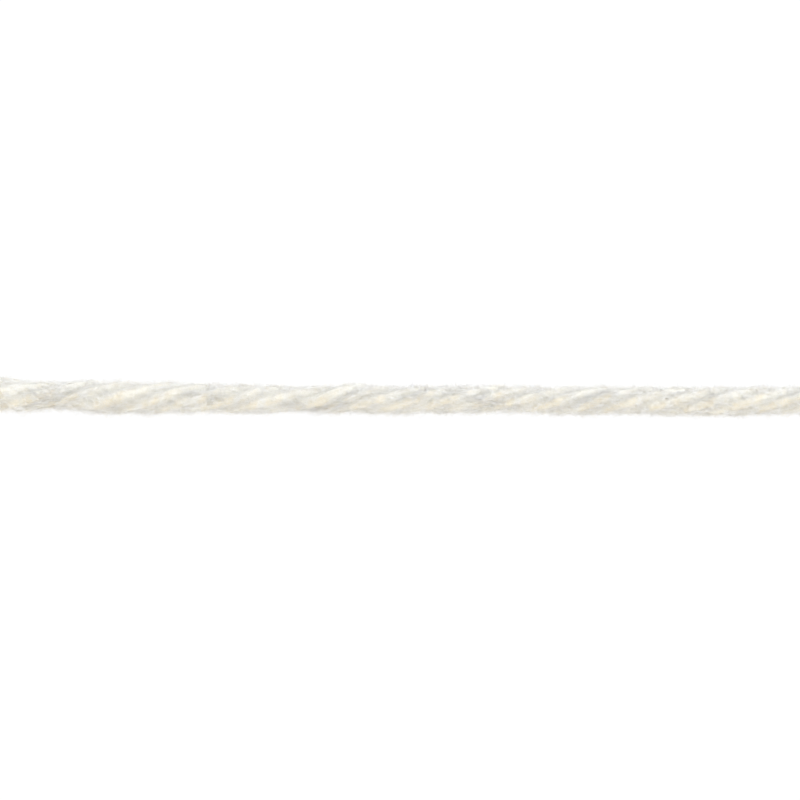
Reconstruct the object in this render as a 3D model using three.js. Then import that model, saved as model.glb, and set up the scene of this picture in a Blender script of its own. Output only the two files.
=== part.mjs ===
// A cut length of cream knitting yarn, lying almost straight on a flat surface.
// Five soft plies are twisted together to the left: seen from above, with the yarn running left to right,
// each ply climbs from lower left to upper right.
// The yarn runs along X, the surface is z = 0, and the origin is at the middle of the yarn's underside.
// Sizes are in millimetres and +Z is up.

import * as THREE from 'three';

// Driving dimensions
const yarnDiameter = 4;
const yarnLength = 116;
const plyCount = 5;
const plyRadiusShare = 0.45; // a ply's radius, as a share of the yarn's radius
const pressedFlat = 0.2; // how deep the surface presses into the underside
const sectionSpacing = 1;
const pointsPerPly = 8;

// The yarn's course, chosen by hand: the place along it, how far it strays sideways, and its thickness
// as a share of the diameter.
const course = [
  { along: -58.0, sideways: 0.32, thickness: 1.15 },
  { along: -50.8, sideways: 0.27, thickness: 1.23 },
  { along: -45.1, sideways: 0.02, thickness: 1.06 },
  { along: -39.4, sideways: -0.01, thickness: 1.18 },
  { along: -33.7, sideways: -0.13, thickness: 1.14 },
  { along: -28.6, sideways: -0.11, thickness: 1.12 },
  { along: -23.5, sideways: -0.17, thickness: 1.03 },
  { along: -18.4, sideways: -0.28, thickness: 1.06 },
  { along: -14.0, sideways: -0.26, thickness: 0.96 },
  { along: -9.5, sideways: -0.34, thickness: 0.99 },
  { along: -5.7, sideways: -0.26, thickness: 1.02 },
  { along: -0.6, sideways: -0.44, thickness: 1.02 },
  { along: 3.8, sideways: -0.32, thickness: 0.98 },
  { along: 8.9, sideways: -0.36, thickness: 1.02 },
  { along: 13.3, sideways: -0.21, thickness: 0.98 },
  { along: 17.8, sideways: -0.45, thickness: 0.99 },
  { along: 22.9, sideways: -0.48, thickness: 1.06 },
  { along: 27.9, sideways: -0.42, thickness: 1.0 },
  { along: 32.8, sideways: -0.5, thickness: 1.03 },
  { along: 37.3, sideways: -0.56, thickness: 1.05 },
  { along: 42.9, sideways: -0.56, thickness: 1.06 },
  { along: 47.0, sideways: -0.44, thickness: 1.02 },
  { along: 58.0, sideways: -0.5, thickness: 0.98 },
];

// The twist: how many plies have crossed the top of the yarn by each place along it. Five make one turn.
const twist = [
  { along: -58.0, plies: -1.84 },
  { along: -49.1, plies: -0.1 },
  { along: -23.7, plies: 4.9 },
  { along: -1.1, plies: 9.9 },
  { along: 22.3, plies: 14.9 },
  { along: 46.4, plies: 19.9 },
  { along: 58.0, plies: 22.32 },
];

// Where the spinning is uneven: which ply, its place, its reach each way, how much wider it is than its
// neighbours, and how far it stands out, as a share of the yarn's radius.
const unevenPlies = [
  { ply: 2, along: -43.2, reach: 3.5, wider: 0, standsOut: -0.22 },
  { ply: 1, along: -43.0, reach: 4.5, wider: -0.3, standsOut: -0.06 },
  { ply: 2, along: -37.5, reach: 5.0, wider: 0.3, standsOut: 0.03 },
  { ply: 3, along: -13.7, reach: 2.4, wider: 0, standsOut: -0.22 },
  { ply: 1, along: -12.5, reach: 5.5, wider: 0.33, standsOut: 0 },
  { ply: 2, along: -10.5, reach: 5.5, wider: 0.2, standsOut: 0 },
  { ply: 3, along: -10.5, reach: 5.5, wider: -0.6, standsOut: -0.08 },
  { ply: 2, along: -6.7, reach: 5.0, wider: 0.15, standsOut: 0.12 },
];

const yarnRadius = yarnDiameter / 2;
const plyAngle = (2 * Math.PI) / plyCount;
const plies = Array.from({ length: plyCount }, (_, ply) => ply);

// The sum of a list of numbers.
function total(numbers) {
  return numbers.reduce((sum, number) => sum + number, 0);
}

// A smooth curve through one column of a table. Between two rows it is a cubic, and its slope at each row
// is that of the line from the row before to the row after.
function smoothColumn(rows, column, along) {
  const after = Math.min(Math.max(rows.findIndex((row) => row.along >= along), 1), rows.length - 1);
  const slopeAt = (index) => {
    const before = rows[Math.max(index - 1, 0)];
    const next = rows[Math.min(index + 1, rows.length - 1)];
    return (next[column] - before[column]) / (next.along - before.along);
  };
  const from = rows[after - 1];
  const to = rows[after];
  const span = to.along - from.along;
  const t = (along - from.along) / span;
  const rise = t * t * (3 - 2 * t);
  const leaving = t * (1 - t) * (1 - t) * span * slopeAt(after - 1);
  const arriving = t * t * (1 - t) * span * slopeAt(after);
  return from[column] + (to[column] - from[column]) * rise + leaving - arriving;
}

// The uneven places of one ply, added up: each is a bell that fades over its reach.
function unevenness(ply, column, along) {
  const bells = unevenPlies
    .filter((place) => place.ply === ply)
    .map((place) => place[column] * Math.exp(-(((along - place.along) / place.reach) ** 2)));
  return total(bells);
}

// How far a round ply reaches from the middle of a yarn of radius 1, at an angle from the ply's crest.
function plyOutline(angleFromCrest) {
  const plyMiddle = 1 - plyRadiusShare;
  const across = plyMiddle * Math.sin(angleFromCrest);
  return plyMiddle * Math.cos(angleFromCrest) + Math.sqrt(plyRadiusShare ** 2 - across ** 2);
}

// One section of the yarn: its middle, its radius, how far its plies have turned, and for each ply its
// share of the way round, where it starts, and how far it stands out.
function sectionAt(along) {
  const widths = plies.map((ply) => 1 + unevenness(ply, 'wider', along));
  const shares = widths.map((width) => (width * plyCount) / total(widths));
  const radius = yarnRadius * smoothColumn(course, 'thickness', along);
  return {
    along,
    radius,
    sideways: smoothColumn(course, 'sideways', along),
    height: radius - pressedFlat,
    turned: smoothColumn(twist, 'plies', along),
    shares,
    starts: plies.map((ply) => total(shares.slice(0, ply))),
    standsOut: plies.map((ply) => unevenness(ply, 'standsOut', along)),
  };
}

// A point on the skin of a section. plyPlace counts plies round the yarn, and each whole number is a
// groove. The angle is measured from straight up towards +Y. The surface flattens what reaches below it.
function skinPoint(section, plyPlace) {
  const ply = Math.floor(plyPlace);
  const across = plyPlace - ply;
  const fromCrest = across - 0.5;
  const neighbour = (ply + (fromCrest < 0 ? plyCount - 1 : 1)) % plyCount;
  const ownLift = section.standsOut[ply];
  const halfway = (section.standsOut[neighbour] - ownLift) / 2;
  const lift = ownLift + halfway * (2 * fromCrest) ** 2;
  const reach = section.radius * (plyOutline(fromCrest * plyAngle) + lift);
  const angle = plyAngle * (section.turned - section.starts[ply] - across * section.shares[ply]);
  const y = section.sideways + reach * Math.sin(angle);
  const z = section.height + reach * Math.cos(angle);
  return new THREE.Vector3(section.along, y, Math.max(z, 0));
}

// The yarn starts as a turned rod of radius 1 that stands along Y. Each ring of the rod becomes a section
// of the yarn, and the middle of each flat end becomes the middle of its section.
function yarnGeometry() {
  const sectionCount = Math.round(yarnLength / sectionSpacing);
  const profile = [new THREE.Vector2(0, -yarnLength / 2)];
  for (let index = 0; index <= sectionCount; index += 1) {
    profile.push(new THREE.Vector2(1, yarnLength * (index / sectionCount - 0.5)));
  }
  profile.push(new THREE.Vector2(0, yarnLength / 2));

  const pointsRound = plyCount * pointsPerPly;
  const geometry = new THREE.LatheGeometry(profile, pointsRound);
  const positions = geometry.getAttribute('position');
  profile.forEach((profilePoint, index) => {
    const section = sectionAt(profilePoint.y);
    for (let around = 0; around <= pointsRound; around += 1) {
      const point = profilePoint.x === 0
        ? new THREE.Vector3(section.along, section.sideways, section.height)
        : skinPoint(section, (around % pointsRound) / pointsPerPly);
      positions.setXYZ(around * profile.length + index, point.x, point.y, point.z);
    }
  });
  geometry.computeVertexNormals();
  return geometry;
}

// Soft, dull, undyed wool.
function creamWool() {
  return new THREE.MeshStandardMaterial({ color: 0xebe6d7, roughness: 0.95, metalness: 0 });
}

const yarn = new THREE.Mesh(yarnGeometry(), creamWool());
yarn.name = 'yarn';

const knittingYarn = new THREE.Group();
knittingYarn.add(yarn);

export default knittingYarn;
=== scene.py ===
import math

import bpy
import numpy as np
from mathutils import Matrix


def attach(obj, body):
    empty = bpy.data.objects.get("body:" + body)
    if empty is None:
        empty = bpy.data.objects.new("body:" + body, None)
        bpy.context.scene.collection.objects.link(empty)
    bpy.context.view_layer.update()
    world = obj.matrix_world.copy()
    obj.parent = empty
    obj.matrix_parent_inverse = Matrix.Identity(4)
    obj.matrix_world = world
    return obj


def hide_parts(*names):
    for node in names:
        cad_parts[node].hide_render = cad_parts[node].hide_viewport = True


# A cut length of cream knitting yarn on a white surface: five soft plies twisted to the left.
# It runs along X, the surface is z = 0, and everything is in metres.

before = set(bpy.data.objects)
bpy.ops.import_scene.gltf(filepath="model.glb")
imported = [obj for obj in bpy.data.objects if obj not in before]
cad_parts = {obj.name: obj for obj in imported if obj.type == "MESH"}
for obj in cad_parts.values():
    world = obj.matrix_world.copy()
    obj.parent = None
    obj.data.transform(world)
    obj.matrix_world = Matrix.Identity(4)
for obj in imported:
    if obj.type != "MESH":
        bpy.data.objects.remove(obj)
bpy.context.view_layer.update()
body = "root"
mm = 0.001
crest = 0.5                          # the place across a ply of its crest; its grooves are at 0 and 1
white = (1.0, 1.0, 1.0, 1.0)

yarn = {
    "diameter": 4 * mm,
    "length": 116 * mm,
    "plyCount": 5,
    "plyRadiusShare": 0.45,      # a ply's radius, as a share of the yarn's radius
    "pressedFlat": 0.2 * mm,     # how deep the surface presses into the underside
    "fibreDepth": 0.34 * mm,     # how far under the outline the fibres lie, with the fuzz over them
    "relief": 1.25,              # how much deeper the grooves start than between round plies
    "grooveFloor": 0.785,        # how far the grooves' floors are from the yarn's middle, in radii
    "grooveFill": 0.08,          # how much higher their floors are on the side that is filled most
    "fillFacing": math.radians(-16),
    "fillReach": math.radians(26),
    "grooveSoftness": 0.05,      # how rounded the edges of the grooves' floors are, in radii
    # the place along, how far the yarn strays sideways, and its thickness as a share of the diameter
    "course": np.array([
        (-0.0580, 0.00032, 1.15), (-0.0508, 0.00027, 1.23), (-0.0451, 0.00002, 1.06),
        (-0.0394, -0.00001, 1.18), (-0.0337, -0.00013, 1.14), (-0.0286, -0.00011, 1.12),
        (-0.0235, -0.00017, 1.03), (-0.0184, -0.00028, 1.06), (-0.0140, -0.00026, 0.96),
        (-0.0095, -0.00034, 0.99), (-0.0057, -0.00026, 1.02), (-0.0006, -0.00044, 1.02),
        (0.0038, -0.00032, 0.98), (0.0089, -0.00036, 1.02), (0.0133, -0.00021, 0.98),
        (0.0178, -0.00045, 0.99), (0.0229, -0.00048, 1.06), (0.0279, -0.00042, 1.00),
        (0.0328, -0.00050, 1.03), (0.0373, -0.00056, 1.05), (0.0429, -0.00056, 1.06),
        (0.0470, -0.00044, 1.02), (0.0580, -0.00050, 0.98),
    ]),
    # the place along, and how many plies have crossed the top of the yarn by there
    "twist": np.array([
        (-0.0580, -1.84), (-0.0491, -0.1), (-0.0237, 4.9), (-0.0011, 9.9), (0.0223, 14.9),
        (0.0464, 19.9), (0.0580, 22.32),
    ]),
    # where the spinning is uneven: the ply, its place, its reach each way, how much wider it is than
    # its neighbours, and how far it stands out, as a share of the yarn's radius
    "unevenPlies": [
        (2, -0.0432, 0.0035, 0, -0.22), (1, -0.0430, 0.0045, -0.3, -0.06),
        (2, -0.0375, 0.0050, 0.3, 0.03), (3, -0.0137, 0.0024, 0, -0.22),
        (1, -0.0125, 0.0055, 0.33, 0), (2, -0.0105, 0.0055, 0.20, 0),
        (3, -0.0105, 0.0055, -0.60, -0.08), (2, -0.0067, 0.0050, 0.15, 0.12),
    ],
}
halfLength = yarn["length"] / 2
plyAngle = 2 * np.pi / yarn["plyCount"]


# A smooth curve through one column of a table: between two rows a cubic, whose slope at each row is that
# of the line from the row before to the row after.
def smoothColumn(rows, column, along):
    places, values = rows[:, 0], rows[:, column]
    index = np.arange(len(rows))
    before, after = np.maximum(index - 1, 0), np.minimum(index + 1, len(rows) - 1)
    slopes = (values[after] - values[before]) / (places[after] - places[before])
    at = np.clip(along, places[0], places[-1])
    row = np.clip(np.searchsorted(places, at) - 1, 0, len(rows) - 2)
    span = places[row + 1] - places[row]
    t = (at - places[row]) / span
    rise = t * t * (3 - 2 * t)
    leaving = t * (1 - t) ** 2 * span * slopes[row]
    arriving = t * t * (1 - t) * span * slopes[row + 1]
    return values[row] + (values[row + 1] - values[row]) * rise + leaving - arriving


# How much wider each ply is and how far it stands out: bells at the uneven places, one column a ply.
def unevenness(along):
    wider = np.zeros(along.shape + (yarn["plyCount"],))
    standsOut = np.zeros_like(wider)
    for ply, place, reach, more, out in yarn["unevenPlies"]:
        bell = np.exp(-(((along - place) / reach) ** 2))
        wider[..., ply] += more * bell
        standsOut[..., ply] += out * bell
    return wider, standsOut


# How far a round ply reaches from the middle of a yarn of radius 1, at an angle from the ply's crest.
def plyOutline(angleFromCrest):
    plyMiddle = 1 - yarn["plyRadiusShare"]
    across = plyMiddle * np.sin(angleFromCrest)
    return plyMiddle * np.cos(angleFromCrest) + np.sqrt(yarn["plyRadiusShare"] ** 2 - across**2)


# The middle line of the yarn at places along it.
def middleAt(along):
    radius = yarn["diameter"] / 2 * smoothColumn(yarn["course"], 2, along)
    sideways = smoothColumn(yarn["course"], 1, along)
    return np.stack([along, sideways, radius - yarn["pressedFlat"]], -1), radius


# The shorter way round from one place to another, where a whole turn is given.
def shorterWay(away, turn):
    return (away + turn / 2) % turn - turn / 2


# Fibres fill the bottoms of the grooves, more a little to the -Y side of the top: the greater of the
# outline and the groove's floor, with the corner between them rounded.
def softened(outline, angle):
    away = shorterWay(angle - yarn["fillFacing"], 2 * np.pi)
    grooveFloor = yarn["grooveFloor"] + yarn["grooveFill"] * np.exp(-((away / yarn["fillReach"]) ** 2))
    above = outline - grooveFloor
    return grooveFloor + (above + np.sqrt(above**2 + yarn["grooveSoftness"] ** 2)) / 2


# The value of each point's own ply, from a table with one column a ply.
def ofPly(table, ply):
    return np.take_along_axis(table, ply[..., None], -1)[..., 0]


# The layer of fibres at places along the yarn and places across a ply, lifted outwards. The height of a
# ply over its neighbours is spread smoothly from its crest to its grooves, and each ply's angle is the
# yarn's turn less the shares of the plies before it. Returns the points and the outward directions.
def skin(along, ply, across, lift):
    middle, radius = middleAt(along)
    wider, standsOut = unevenness(along)
    shares = (1 + wider) * yarn["plyCount"] / (1 + wider).sum(-1, keepdims=True)
    starts = np.cumsum(shares, -1) - shares
    fromCrest = across - crest
    neighbour = (ply + np.where(fromCrest < 0, -1, 1)) % yarn["plyCount"]
    own = ofPly(standsOut, ply)
    halfway = (ofPly(standsOut, neighbour) - own) / 2
    uneven = own + halfway * (2 * fromCrest) ** 2
    turned = smoothColumn(yarn["twist"], 1, along)
    angle = plyAngle * (turned - ofPly(starts, ply) - across * ofPly(shares, ply))
    relief = 1 - yarn["relief"] * (1 - plyOutline(fromCrest * plyAngle))
    outline = softened(relief + uneven, angle)
    reach = radius * outline - yarn["fibreDepth"] + lift
    outward = np.stack([np.zeros_like(angle), np.sin(angle), np.cos(angle)], -1)
    return middle + reach[..., None] * outward, outward


# The place on a ply that lies at an angle from straight up: which ply, and how far across it.
def plyAt(along, angle):
    place = smoothColumn(yarn["twist"], 1, along) - angle / plyAngle
    ply = np.floor(place)
    return (ply % yarn["plyCount"]).astype(int), place - ply


# The second wave of each patch: its length, as a share of the first's, and its lean against the first's.
crossingWave = {"length": 1.6, "lean": -0.7}


# Slow changes along the plies: products of two waves, with starts of their own for each ply. A wave is
# its length and how many of it go across a ply.
def mottle(along, ply, across, waves, seed):
    random = np.random.default_rng(seed)
    total = np.zeros(np.broadcast_shapes(along.shape, across.shape))
    for long, lanes in waves:
        first, second = random.uniform(0, 1, (2, yarn["plyCount"]))
        one = np.sin(2 * np.pi * (along / long + lanes * across + first[ply]))
        otherPlace = along / (crossingWave["length"] * long) + crossingWave["lean"] * lanes * across
        other = np.sin(2 * np.pi * (otherPlace + second[ply]))
        total += one * other
    return total


# Where the wool changes colour: ochre warmth, partly the wool's own and partly painted warm bounce light, a
# painted shade and a painted highlight. Each has the place across a ply and its reach, the side of the yarn
# that shows it most, as light and shade fall there, and its reach (from straight up towards +Y), its share
# on the other sides, its strength, and how patchy it is.
ways = {
    # ochre: the wool's own warm patches, and painted warm light bounced between fibres in half-shade, most
    # towards -Y
    "warmthAndBounce": {
        "place": 0.54, "reach": 0.30, "facing": math.radians(-20), "facingReach": math.radians(32),
        "everywhere": 0.20, "strength": 1.1, "patchiness": 0.90,
        "waves": [(4.6 * mm, 0.3), (2.6 * mm, 0.6)], "seed": 51,
    },
    # painted shade: a grey-green band on one flank of each ply beside its groove, strongest near the top
    "paintedShade": {
        "place": 0.12, "reach": 0.30, "facing": math.radians(20), "facingReach": math.radians(50),
        "everywhere": 0.25, "strength": 0.75, "patchiness": 0.20,
        "waves": [(5.1 * mm, 0.3), (2.9 * mm, 0.5)], "seed": 53,
    },
    # painted highlight: pale on the other flank of each ply, most on the side towards +Y where the light
    # falls
    "paintedHighlight": {
        "place": 0.58, "reach": 0.36, "facing": math.radians(50), "facingReach": math.radians(38),
        "everywhere": 0.15, "strength": 0.4, "patchiness": 0.15,
        "waves": [(4.3 * mm, 0.3), (2.3 * mm, 0.5)], "seed": 54,
    },
}
tones = {
    "waves": [(5.3 * mm, 0.4), (2.6 * mm, 0.6), (1.4 * mm, 0.9), (0.8 * mm, 1.4)],
    "patchiness": 0.08, "seed": 52,
}


# The values that colour the wool at places on it: the painted shade, the painted highlight and the warmth
# with its painted bounce. Each is a bell across the ply, counted round from groove to groove, times a bell
# round the yarn for the side where the light or shade falls, times its patches. The tone is the fibre's
# own, mottled.
def woolValues(along, ply, across, outward, tone):
    angle = np.arctan2(outward[..., 1], outward[..., 2])
    values = {}
    for name, look in ways.items():
        away = shorterWay(across - look["place"], 1)
        bell = np.exp(-((away / look["reach"]) ** 2))
        facing = np.exp(-(((angle - look["facing"]) / look["facingReach"]) ** 2))
        side = look["everywhere"] + (1 - look["everywhere"]) * facing
        patches = 1 + look["patchiness"] * mottle(along, ply, across, look["waves"], look["seed"])
        values[name] = np.clip(look["strength"] * bell * side * patches, 0, 1)
    values["tone"] = tone + tones["patchiness"] * mottle(along, ply, across, tones["waves"], tones["seed"])
    return values


# Puts arrays into a new mesh object that rides on the part: points, faces of three or four corners, the
# map's corners face by face, and values at the points.
def makePiece(name, points, faces, mapCorners, values, material):
    mesh = bpy.data.meshes.new(name)
    corners = np.concatenate([face.ravel() for face in faces]).astype(np.int32)
    sizes = np.concatenate([np.full(len(face), face.shape[1]) for face in faces]).astype(np.int32)
    mesh.vertices.add(len(points))
    mesh.vertices.foreach_set("co", points.astype(np.float32).ravel())
    mesh.loops.add(len(corners))
    mesh.loops.foreach_set("vertex_index", corners)
    mesh.polygons.add(len(sizes))
    mesh.polygons.foreach_set("loop_start", (np.cumsum(sizes) - sizes).astype(np.int32))
    mesh.polygons.foreach_set("loop_total", sizes)
    mesh.polygons.foreach_set("use_smooth", np.ones(len(sizes), dtype=bool))
    bakeMap = mesh.uv_layers.new(name="OFBake")
    bakeMap.data.foreach_set("uv", mapCorners.astype(np.float32).ravel())
    for valueName, value in values.items():
        layer = mesh.attributes.new(valueName, "FLOAT", "POINT")
        layer.data.foreach_set("value", value.astype(np.float32).ravel())
    mesh.update(calc_edges=True)
    mesh.validate()
    mesh.materials.append(material)
    piece = bpy.data.objects.new(name, mesh)
    bpy.context.scene.collection.objects.link(piece)
    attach(piece, body)
    print("made", name, "with", int((sizes - 2).sum()), "triangles")
    return piece


# A number in a material. Sums, differences and products of it add Math nodes.
class Number:
    def __init__(self, finish, socket):
        self.finish = finish
        self.socket = socket

    def math(self, operation, first, second):
        return self.finish.node("ShaderNodeMath", {"operation": operation}, {0: first, 1: second})

    def __add__(self, other):
        return self.math("ADD", self, other)

    def __sub__(self, other):
        return self.math("SUBTRACT", self, other)

    def __rsub__(self, other):
        return self.math("SUBTRACT", other, self)

    def __mul__(self, other):
        return self.math("MULTIPLY", self, other)

    def clamped(self):
        return self.finish.node("ShaderNodeClamp", {}, {"Value": self})

    __radd__ = __add__
    __rmul__ = __mul__


# The sockets of a Mix node that mixes colours. They go by number, because the node has several of a name.
colourMix = {"factor": 0, "first": 6, "second": 7, "result": 2}


# A material under construction. Its node method makes any node: the settings first, then the sockets.
class Finish:
    def __init__(self, name):
        self.material = bpy.data.materials.new(name)
        self.material.use_nodes = True
        self.tree = self.material.node_tree
        self.tree.nodes.clear()

    def node(self, kind, settings, inputs, output=0):
        made = self.tree.nodes.new(kind)
        for setting, value in settings.items():
            setattr(made, setting, value)
        for socket, value in inputs.items():
            if isinstance(value, Number):
                self.tree.links.new(value.socket, made.inputs[socket])
            else:
                made.inputs[socket].default_value = value
        return Number(self, made.outputs[output]) if made.outputs else made

    def attribute(self, name):
        return self.node("ShaderNodeAttribute", {"attribute_name": name}, {}, "Fac")

    def noise(self, at, size, detail):
        inputs = {"Vector": at, "Scale": 1 / size, "Detail": detail}
        return self.node("ShaderNodeTexNoise", {"noise_dimensions": "3D"}, inputs, "Fac")

    def stretched(self, at, scale):
        return self.node("ShaderNodeMapping", {}, {"Vector": at, "Scale": scale})

    def mixed(self, factor, first, second):
        inputs = {colourMix["factor"]: factor, colourMix["first"]: first, colourMix["second"]: second}
        return self.node("ShaderNodeMix", {"data_type": "RGBA"}, inputs, colourMix["result"])


woolLook = {
    "cream": (0.960, 0.924, 0.842, 1),
    "ochre": (0.965, 0.842, 0.590, 1),
    "shade": (0.790, 0.767, 0.688, 1),
    "pale": (0.985, 0.971, 0.946, 1),
    "middle": 0.5,               # the tone, and the streak, that leave the colour as it is
    "streaks": 0.15,             # how strong the fine streaks are, how wide, and their stretch along X
    "streakSize": 0.14 * mm,
    "streakStretch": (0.35, 1, 1),
    "streakDetail": 2,
    "glow": 0.5,                 # how much of the light goes into the wool, and how far, by colour
    "glowReach": 0.15 * mm,
    "glowColour": (1.0, 0.95, 0.85),
    "roughness": 0.9,
    "sheen": 0.35,
    "sheenRoughness": 0.5,
}


# Wool: cream, with a painted shade in grey-green on one side of each ply and a painted highlight in pale on
# the other, ochre where it is warm (partly painted warm bounce), and a tone of its own for each fibre. The
# paler it is, the more it is like loose fuzz, painted lighter for the light that lone fibres catch.
def wool(name, toneSpread, paler):
    look = woolLook
    finish = Finish(name)
    at = finish.node("ShaderNodeTexCoord", {}, {}, "Object")
    stretched = finish.stretched(at, look["streakStretch"])
    streaks = finish.noise(stretched, look["streakSize"], look["streakDetail"])
    shift = (finish.attribute("tone") - look["middle"]) * toneSpread
    shift = shift + (streaks - look["middle"]) * look["streaks"]
    # Painted shade, then painted highlight, then ochre with its painted warm bounce.
    colour = finish.mixed(finish.attribute("paintedShade"), look["cream"], look["shade"])
    colour = finish.mixed(finish.attribute("paintedHighlight"), colour, look["pale"])
    colour = finish.mixed(finish.attribute("warmthAndBounce"), colour, look["ochre"])
    colour = finish.mixed(shift.clamped(), colour, look["pale"])
    colour = finish.mixed((shift * -1).clamped(), colour, look["shade"])
    colour = finish.mixed(paler, colour, look["pale"])
    surface = finish.node("ShaderNodeBsdfPrincipled", {}, {
        "Base Color": colour,
        "Roughness": look["roughness"],
        "Subsurface Weight": look["glow"],
        "Subsurface Radius": look["glowColour"],
        "Subsurface Scale": look["glowReach"],
        "Sheen Weight": look["sheen"],
        "Sheen Roughness": look["sheenRoughness"],
    })
    finish.node("ShaderNodeOutputMaterial", {}, {"Surface": surface})
    return finish.material


# The camera looks straight down, with the yarn running from edge to edge of the picture.
view = {
    "pictureWidth": 101.6 * mm,
    "lens": 200,
    "sensor": 36,
    "aimSideways": -0.40 * mm,
    "aimHeight": 2 * mm,
    "nearest": 1 * mm,
}
cameraData = bpy.data.cameras.new("camera")
cameraData.lens = view["lens"]
cameraData.sensor_width = view["sensor"]
cameraData.clip_start = view["nearest"]
camera = bpy.data.objects.new("camera", cameraData)
distance = view["pictureWidth"] * view["lens"] / view["sensor"]
camera.location = (0, view["aimSideways"], view["aimHeight"] + distance)
bpy.context.scene.collection.objects.link(camera)
bpy.context.scene.camera = camera
bpy.context.scene.view_settings.view_transform = "Standard"
print("camera placed")


# The plies: one closed skin, ringed along the yarn, whose rings turn with the plies.
plies = {
    "steps": 520,
    "pointsPerPly": 22,
    "under": 0.08 * mm,          # how far the plies lie under their fibres
    "tone": -0.75,               # painted shade: darker than the fibres, for the shade in the depths between them
    "capRings": 10,
    "capBulge": 0.2 * mm,
    "strips": 3,                 # rows of the map that the length is laid out in, and the margin of each
    "stripMargin": 0.01,
}


# The end caps shrink the last ring to its middle. Each ply's end swells: a dome round the ply's own middle.
def endBulge(across, scale):
    plyMiddle = 1 - yarn["plyRadiusShare"]
    angle = (across - crest) * plyAngle
    reach = scale * plyOutline(angle)
    away = np.hypot(reach * np.cos(angle) - plyMiddle, reach * np.sin(angle)) / yarn["plyRadiusShare"]
    return plies["capBulge"] * np.sqrt(np.maximum(1 - away**2, 0))


# The skin under its fibres on a grid of places along the yarn and round it, flat where it reaches the
# surface. Each end closes with a cap of rings and a fan of triangles.
def makePlies(material):
    around = yarn["plyCount"] * plies["pointsPerPly"]
    plyPlace = np.arange(around) / plies["pointsPerPly"]
    along = np.linspace(-halfLength, halfLength, plies["steps"] + 1)
    alongGrid, placeGrid = np.meshgrid(along, plyPlace, indexing="ij")
    ply = np.floor(placeGrid).astype(int)
    across = placeGrid - ply
    points, outward = skin(alongGrid, ply, across, -plies["under"])
    points[..., 2] = np.maximum(points[..., 2], 0)
    middles, _ = middleAt(along)
    scales = np.linspace(1, 0, plies["capRings"] + 1)[1:-1, None]
    caps = []
    for end, side in ((0, -1), (-1, 1)):
        cap = middles[end] + scales[..., None] * (points[end] - middles[end])
        cap[..., 0] += side * endBulge(across[end], scales)
        caps.append(cap)
    rows = np.concatenate([caps[0][::-1], points, caps[1]])
    count = len(rows)
    tips = np.stack([middles[0], middles[-1]])
    index = np.arange(count * around).reshape(count, around)
    nextIndex = np.roll(index, -1, 1)
    quads = np.stack([index[:-1], index[1:], nextIndex[1:], nextIndex[:-1]], -1).reshape(-1, 4)
    startTip, endTip = count * around, count * around + 1
    startFan = np.stack([np.full(around, startTip), index[0], nextIndex[0]], -1)
    endFan = np.stack([np.full(around, endTip), nextIndex[-1], index[-1]], -1)
    values = woolValues(alongGrid, ply, across, outward, plies["tone"])
    for valueName, value in values.items():
        capValues = [np.repeat(value[end][None], plies["capRings"] - 1, 0) for end in (0, -1)]
        tipValues = [0, 0]
        values[valueName] = np.append(np.concatenate([capValues[0], value, capValues[1]]), tipValues)
    everyPoint = np.concatenate([rows.reshape(-1, 3), tips])
    faces = [quads, startFan, endFan]
    return makePiece("plies", everyPoint, faces, pliesMap(count, around), values, material)


# A corner in the map of the plies: how far along its strip, and how high in it for its share of the way
# round the yarn.
def onStrip(strip, perStrip, row, turn):
    u = (row - strip * perStrip) / (perStrip + 1)
    v = strip + plies["stripMargin"] + (1 - 2 * plies["stripMargin"]) * turn
    return np.stack(np.broadcast_arrays(u, v / plies["strips"]), -1)


# The map of the plies: the length in strips, one over the other. The tips are the first and the last row,
# and each triangle there has its corner at the tip over the middle of its side on the ring.
def pliesMap(count, around):
    perStrip = int(np.ceil((count + 1) / plies["strips"]))
    row, column = np.meshgrid(np.arange(1, count), np.arange(around), indexing="ij")
    strip = row // perStrip
    quadSteps = ((0, 0), (1, 0), (1, 1), (0, 1))
    quads = [onStrip(strip, perStrip, row + down, (column + aside) / around) for down, aside in quadSteps]
    corners = [np.stack(quads, -2).reshape(-1, 2)]
    turn = np.arange(around)
    for tipRow, ringRow, ringSteps in ((0, 1, (0, 1)), (count + 1, count, (1, 0))):
        strip = min(tipRow, ringRow) // perStrip
        fan = [onStrip(strip, perStrip, tipRow, (turn + 1 / 2) / around)]
        fan += [onStrip(strip, perStrip, ringRow, (turn + step) / around) for step in ringSteps]
        corners.append(np.stack(fan, 1).reshape(-1, 2))
    return np.concatenate(corners)


pliesWool = wool("wool_plies", toneSpread=0.6, paler=0.0)
# The nap is painted paler, for the light that loose fuzz catches.
napWool = wool("wool_nap", toneSpread=0.35, paler=0.15)
pliesPiece = makePlies(pliesWool)
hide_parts("yarn")

# A strand has three sides. Its cell in the map has an edge for each cap and a gap to the next cell, as
# shares of the cell.
sides = 3
strandCell = {"cap": 0.06, "gap": 0.04}


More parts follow.
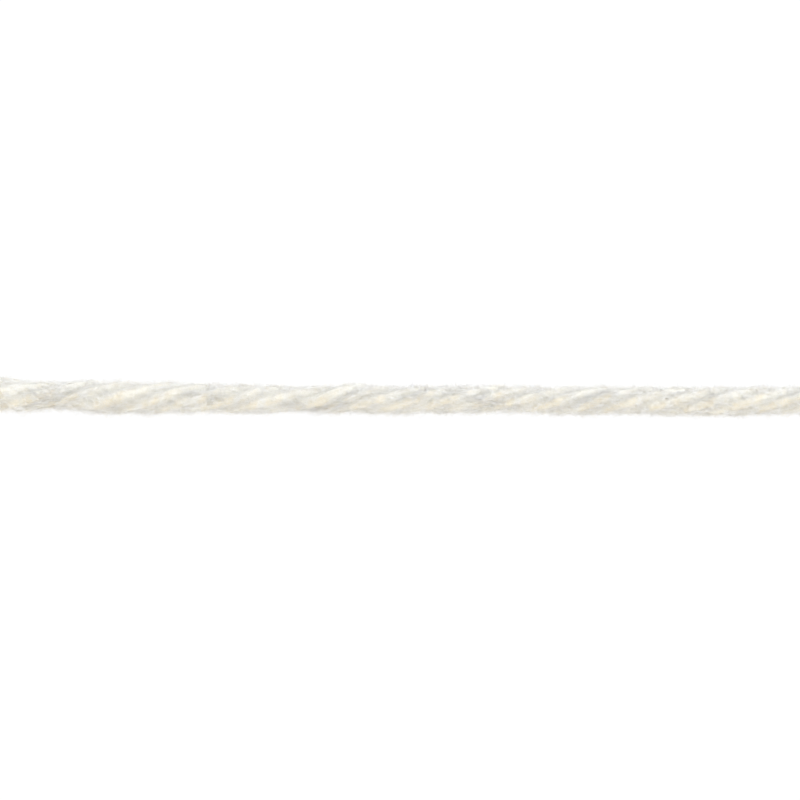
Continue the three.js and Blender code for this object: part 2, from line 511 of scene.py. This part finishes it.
# Closed three-sided strands along paths of one count of steps. Each ring stands square to its path, and
# its first corner turns by the strand's own roll from the outward direction.
def makeStrands(name, paths, outward, thickness, values, material, random):
    count, steps, _ = paths.shape
    paths = paths.copy()
    paths[..., 2] = np.maximum(paths[..., 2], thickness / 2)
    tangent = np.gradient(paths, axis=1)
    tangent /= np.linalg.norm(tangent, axis=-1, keepdims=True)
    aside = np.cross(tangent, outward)
    aside /= np.linalg.norm(aside, axis=-1, keepdims=True)
    out = np.cross(aside, tangent)
    roll = random.uniform(0, 2 * np.pi, (count, 1, 1))
    turn = roll + 2 * np.pi * np.arange(sides) / sides
    ring = (np.cos(turn)[..., None] * out[:, :, None] + np.sin(turn)[..., None] * aside[:, :, None])
    points = paths[:, :, None] + ring * (thickness / 2)[..., None, None]
    index = np.arange(count * steps * sides).reshape(count, steps, sides)
    nextIndex = np.roll(index, -1, 2)
    quads = np.stack([index[:, :-1], nextIndex[:, :-1], nextIndex[:, 1:], index[:, 1:]], -1)
    startCap, endCap = index[:, 0, ::-1], index[:, -1]
    values = {valueName: np.repeat(value[..., None], sides, -1) for valueName, value in values.items()}
    faces = [quads.reshape(-1, 4), startCap, endCap]
    return makePiece(name, points.reshape(-1, 3), faces, strandMap(count, steps), values, material)


# The map of the strands: a cell for each, with the length across it and the three sides up it. The caps
# take a narrow edge of the cell on each side.
def strandMap(count, steps):
    perRow = int(np.ceil(np.sqrt(count)))
    capEdge, full = strandCell["cap"], 1 - strandCell["gap"]
    cell = np.arange(count)
    corner = np.stack([cell % perRow, cell // perRow], -1).astype(float)
    step, side = np.meshgrid(np.arange(steps - 1), np.arange(sides), indexing="ij")
    local = []
    for moreStep, moreSide in ((0, 0), (0, 1), (1, 1), (1, 0)):
        u = capEdge + (full - 2 * capEdge) * (step + moreStep) / (steps - 1)
        v = full * (side + moreSide) / sides
        local.append(np.stack([u, v], -1))
    long = np.stack(local, -2).reshape(-1, 2)
    startCap = np.array([(0, 0), (capEdge, 0), (0, full)])
    endCap = np.array([(full, 0), (full, full), (full - capEdge, full)])
    return np.concatenate([
        ((corner[:, None] + shape) / perRow).reshape(-1, 2)
        for shape in (long, startCap, endCap)
    ])


# What all loose fibres have in common.
loose = {
    "paling": 0.30 * mm,         # how far out a fibre is most of the way to pale, out of its painted shade
    "heights": (1.1, 3),         # the shape of the spread of their heights: most stay low
    "waves": (1.5, 3.5),         # half waves in a fibre
    "outWaver": 0.5,             # how much it wavers outwards, as a share of its waver aside
    "rising": 1.5,               # the power of the way along by which an end rises
    "taper": 0.5,                # how much thinner its tip is, as a share of its thickness
}
# Kinds of loose fibres. A fibre's length, thickness and greatest height lie between two values. Its slant
# is the spread of its angle to the yarn's length, and its bend the spread of its curve as a share of its
# length. Loops is the share that come down again, and straight is how far they leave the skin's curve.
nap = {
    "count": 7000, "steps": 5, "length": (0.7 * mm, 2.6 * mm),
    "thickness": (0.023 * mm, 0.041 * mm), "rise": (0.04 * mm, 1.30 * mm), "slant": 1.4, "bend": 0.35,
    "waver": 0.06 * mm, "loops": 0.5, "straight": 0.15, "tone": 0.55, "toneSpread": 0.35,
    "seeds": (61, 62, 63, 64),
}
halo = {
    "count": 700, "steps": 9, "length": (1.5 * mm, 5.0 * mm), "thickness": (0.018 * mm, 0.028 * mm),
    "rise": (0.25 * mm, 1.5 * mm), "slant": 0.9, "bend": 0.5, "waver": 0.10 * mm, "loops": 0.35,
    "straight": 0.7, "tone": 0.9, "toneSpread": 0.2, "seed": 32,
}
# Where fibres have come loose across the plies: the place along, the angle from straight up towards +Y,
# and how many.
tufts = {
    "places": np.array([
        (-0.0452, 0.10, 70), (-0.0358, -0.35, 40), (-0.0245, 0.20, 40), (-0.0125, -0.15, 70),
        (0.0020, 0.35, 40), (0.0114, -0.20, 90), (0.0238, -0.15, 70), (0.0262, 0.30, 40),
        (0.0395, 0.30, 40),
    ]),
    "alongSpread": 0.9 * mm, "angleSpread": 0.30,
    "steps": 6, "length": (1.0 * mm, 3.2 * mm), "thickness": (0.030 * mm, 0.050 * mm),
    "rise": (0.15 * mm, 0.45 * mm), "slant": 1.2, "bend": 0.35, "waver": 0.07 * mm, "loops": 0.6,
    "straight": 0.4, "tone": 1.1, "toneSpread": 0.3, "seed": 34,
}


# Steps that spread points evenly over a square: one over the root of x^3 = x + 1, and that squared.
spreading = np.array([0.7548776662, 0.5698402910])


# Where loose fibres start: spread evenly over the yarn, or round the tufts' places.
def looseStarts(look, random):
    if "places" in look:
        rows = np.repeat(np.arange(len(look["places"])), look["places"][:, 2].astype(int))
        start = look["places"][rows, 0] + random.normal(0, look["alongSpread"], len(rows))
        return start, look["places"][rows, 1] + random.normal(0, look["angleSpread"], len(rows))
    share = (random.uniform(0, 1, (2, 1)) + spreading[:, None] * np.arange(look["count"])) % 1
    return (2 * share[0] - 1) * halfLength, (2 * share[1] - 1) * np.pi


# Each loose fibre sets out at a slant from the yarn's length, bends aside and wavers as it rises. A loop
# goes up and down as a parabola, and an end only rises. The path is a mix of one that follows the skin
# round the yarn and one that goes straight on. The further out, the paler, as it leaves the shade: the
# painted shade and the painted warm bounce fade by how far it stands out, and the painted highlight grows.
def makeLooseFibres(name, look, seed, material):
    random = np.random.default_rng(seed)
    start, startAngle = looseStarts(look, random)
    count, t = len(start), np.linspace(0, 1, look["steps"])
    slant = random.normal(0, look["slant"], (count, 1))
    way = random.choice([-1, 1], (count, 1))
    long = random.uniform(*look["length"], (count, 1))
    lowest, highest = look["rise"]
    rise = lowest + (highest - lowest) * random.beta(*loose["heights"], (count, 1))
    isLoop = random.uniform(0, 1, (count, 1)) < look["loops"]
    bend = random.normal(0, look["bend"], (count, 1)) * long
    wave = random.uniform(0, 2 * np.pi, (2, count, 1))
    waves = random.uniform(*loose["waves"], (count, 1)) * np.pi * t
    ahead = long * t
    aside = bend * t**2 + look["waver"] * t * np.sin(waves + wave[0])
    lift = rise * np.where(isLoop, 4 * t * (1 - t), t ** loose["rising"])
    lift = lift + loose["outWaver"] * look["waver"] * t * np.sin(waves + wave[1])
    alongShift = way * np.cos(slant) * ahead - np.sin(slant) * aside
    aroundShift = np.sin(slant) * ahead + way * np.cos(slant) * aside
    along = np.clip(start[:, None] + alongShift, -halfLength, halfLength)
    angle = startAngle[:, None] + aroundShift / (yarn["diameter"] / 2)
    ply, across = plyAt(along, angle)
    following, outward = skin(along, ply, across, lift)
    rootOut = outward[:, :1]
    around = np.cross(rootOut, np.array([-1.0, 0, 0]))
    straight = following[:, :1] + alongShift[..., None] * np.array([1.0, 0, 0])
    straight = straight + aroundShift[..., None] * around + lift[..., None] * rootOut
    paths = following + look["straight"] * (straight - following)
    thick = random.uniform(*look["thickness"], (count, 1)) * (1 - loose["taper"] * t**3)
    tone = random.normal(look["tone"], look["toneSpread"], (count, 1))
    values = woolValues(along, ply, across, outward, tone)
    # The painted shade and painted warm bounce fade, and the painted highlight grows, as the fibre rises
    # out of the shade.
    outOfShade = 1 - np.exp(-np.maximum(lift, 0) / loose["paling"])
    values["paintedShade"] *= 1 - outOfShade
    values["warmthAndBounce"] *= 1 - outOfShade
    values["paintedHighlight"] += (1 - values["paintedHighlight"]) * outOfShade
    return makeStrands(name, paths, outward, thick, values, material, random)


# The cut ends: short fibres that come out of each ply's end and spread a little.
cutEnds = {
    "count": 1700, "steps": 5, "inside": 0.5 * mm, "outside": (0.1 * mm, 1.1 * mm),
    "thickness": (0.028 * mm, 0.048 * mm), "taper": 0.6, "spread": 0.45, "lean": 0.60,
    "fill": 0.95,                # how much of a ply's radius the roots take up
    # each end: its name, its side along X and its seed
    "ends": [("cut_end_left", -1, 41), ("cut_end_right", 1, 42)],
}


# Roots spread evenly over a disc in each ply, a little way in. From there each fibre goes out along X and
# leans away from the yarn's middle by the square of its way along, with some chance in the lean.
def makeCutEnd(name, side, seed, material):
    look = cutEnds
    random = np.random.default_rng(seed)
    count, t = look["count"], np.linspace(0, 1, look["steps"])
    ply = random.integers(0, yarn["plyCount"], count)
    end = np.full(count, side * halfLength)
    _, plyWay = skin(end, ply, np.full(count, crest), np.zeros(count))
    middle, radius = middleAt(end)
    coreRadius = radius - yarn["fibreDepth"]
    plyMiddle = middle + (1 - yarn["plyRadiusShare"]) * coreRadius[:, None] * plyWay
    turn = random.uniform(0, 2 * np.pi, count)
    reach = look["fill"] * yarn["plyRadiusShare"] * coreRadius * np.sqrt(random.uniform(0, 1, count))
    roots = plyMiddle + reach[:, None] * np.stack([np.zeros(count), np.cos(turn), np.sin(turn)], -1)
    roots[:, 0] -= side * look["inside"]
    long = look["inside"] + random.uniform(*look["outside"], count)
    sectionOnly = np.array([0, 1, 1])
    away = (roots - middle) * sectionOnly / radius[:, None]
    lean = away + random.normal(0, look["lean"], (count, 3)) * sectionOnly
    paths = roots[:, None] + np.array([side, 0, 0]) * (long[:, None] * t)[..., None]
    paths = paths + lean[:, None] * (look["spread"] * long[:, None] * t**2)[..., None]
    thick = random.uniform(*look["thickness"], count)[:, None] * (1 - look["taper"] * t**3)
    tone = random.normal(nap["tone"], nap["toneSpread"], (count, 1))
    outward = away / np.linalg.norm(away, axis=-1, keepdims=True)
    outward = np.broadcast_to(outward[:, None], paths.shape)
    plyGrid = np.broadcast_to(ply[:, None], thick.shape)
    across = np.broadcast_to(random.uniform(0, 1, (count, 1)), thick.shape)
    values = woolValues(paths[..., 0], plyGrid, across, outward, tone)
    return makeStrands(name, paths, outward, thick, values, material, random)


pieces = [
    makeLooseFibres(f"nap_{number}", nap, seed, napWool)
    for number, seed in enumerate(nap["seeds"], 1)
]
pieces.append(makeLooseFibres("halo", halo, halo["seed"], napWool))
pieces.append(makeLooseFibres("tufts", tufts, tufts["seed"], napWool))
pieces += [makeCutEnd(name, side, seed, napWool) for name, side, seed in cutEnds["ends"]]

middleLine, _ = middleAt(yarn["course"][:, 0])


# The surface under the yarn is bright enough to leave no shadow, and the room is white.
studio = {
    "floorSize": 8,
    "floorColour": (0.06, 0.06, 0.06, 1),
    "floorGlow": 0.96,
    "room": 1.13,
    "lampDistance": 1,
    "lampSize": 0.5,
    # each lamp: the way to it (turned from +X towards +Y, and up), its power and its colour
    "lamps": [
        (-90, 25, 0.6, white[:3]),
        (0, 20, 1.5, (0.85, 0.92, 1.0)),
        (45, 25, 4.4, (0.76, 0.86, 1.0)),
        (0, 55, 2.0, (0.90, 0.95, 1.0)),
    ],
}


def makeFloor():
    half = studio["floorSize"] / 2
    corners = [(-half, -half, 0), (half, -half, 0), (half, half, 0), (-half, half, 0)]
    mesh = bpy.data.meshes.new("floor")
    mesh.from_pydata(corners, [], [(0, 1, 2, 3)])
    floor = bpy.data.objects.new("floor", mesh)
    bpy.context.scene.collection.objects.link(floor)
    finish = Finish("floor")
    surface = finish.node("ShaderNodeBsdfPrincipled", {}, {
        "Base Color": studio["floorColour"],
        "Roughness": 1.0,
        "Specular IOR Level": 0.0,
        "Emission Color": white,
        "Emission Strength": studio["floorGlow"],
    })
    finish.node("ShaderNodeOutputMaterial", {}, {"Surface": surface})
    mesh.materials.append(finish.material)
    print("floor laid")


# A white room, and lamps that look at the middle of the yarn.
def lightRoom():
    world = bpy.data.worlds.new("room")
    world.use_nodes = True
    background = world.node_tree.nodes["Background"].inputs
    background["Color"].default_value = white
    background["Strength"].default_value = studio["room"]
    bpy.context.scene.world = world
    for number, (turned, up, power, colour) in enumerate(studio["lamps"], 1):
        lampData = bpy.data.lights.new(f"lamp_{number}", "AREA")
        lampData.energy = power
        lampData.color = colour
        lampData.size = studio["lampSize"]
        lamp = bpy.data.objects.new(f"lamp_{number}", lampData)
        turn, height = math.radians(turned), math.radians(up)
        flat = math.cos(height)
        way = (math.cos(turn) * flat, math.sin(turn) * flat, math.sin(height))
        lamp.location = [studio["lampDistance"] * part for part in way]
        lamp.rotation_mode = "QUATERNION"
        lamp.rotation_quaternion = lamp.location.to_track_quat("Z", "Y")
        bpy.context.scene.collection.objects.link(lamp)
    print("room lit with", len(studio["lamps"]), "lamps")


makeFloor()
lightRoom()
